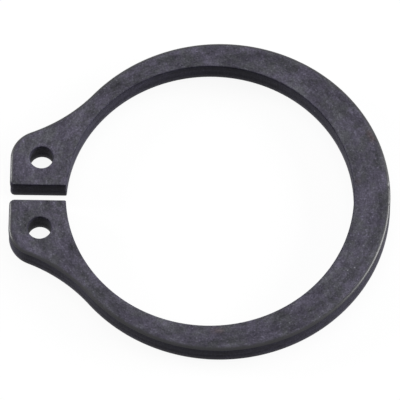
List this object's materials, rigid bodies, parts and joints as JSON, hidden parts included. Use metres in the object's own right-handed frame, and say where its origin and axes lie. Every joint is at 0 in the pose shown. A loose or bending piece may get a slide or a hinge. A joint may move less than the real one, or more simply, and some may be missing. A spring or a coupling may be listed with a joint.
{
  "type": "external retaining ring",
  "caption": "Flat open spring ring with two eyed lugs, which snaps into a groove round a shaft and holds a part on it.",
  "frame": {"origin": "centre of the bore, halfway through the thickness", "axes": "+Z along the bore, up as the ring lies flat with its rounded face uppermost; +X away from the gap, towards the widest part of the blade; the gap between the lugs faces -X"},
  "size_m": [0.0306, 0.0274, 0.002],
  "materials": {
    "blackened_spring_steel": "matte"
  },
  "bodies": {
    "root": {"retaining_ring": "blackened_spring_steel"}
  },
  "joints": []
}
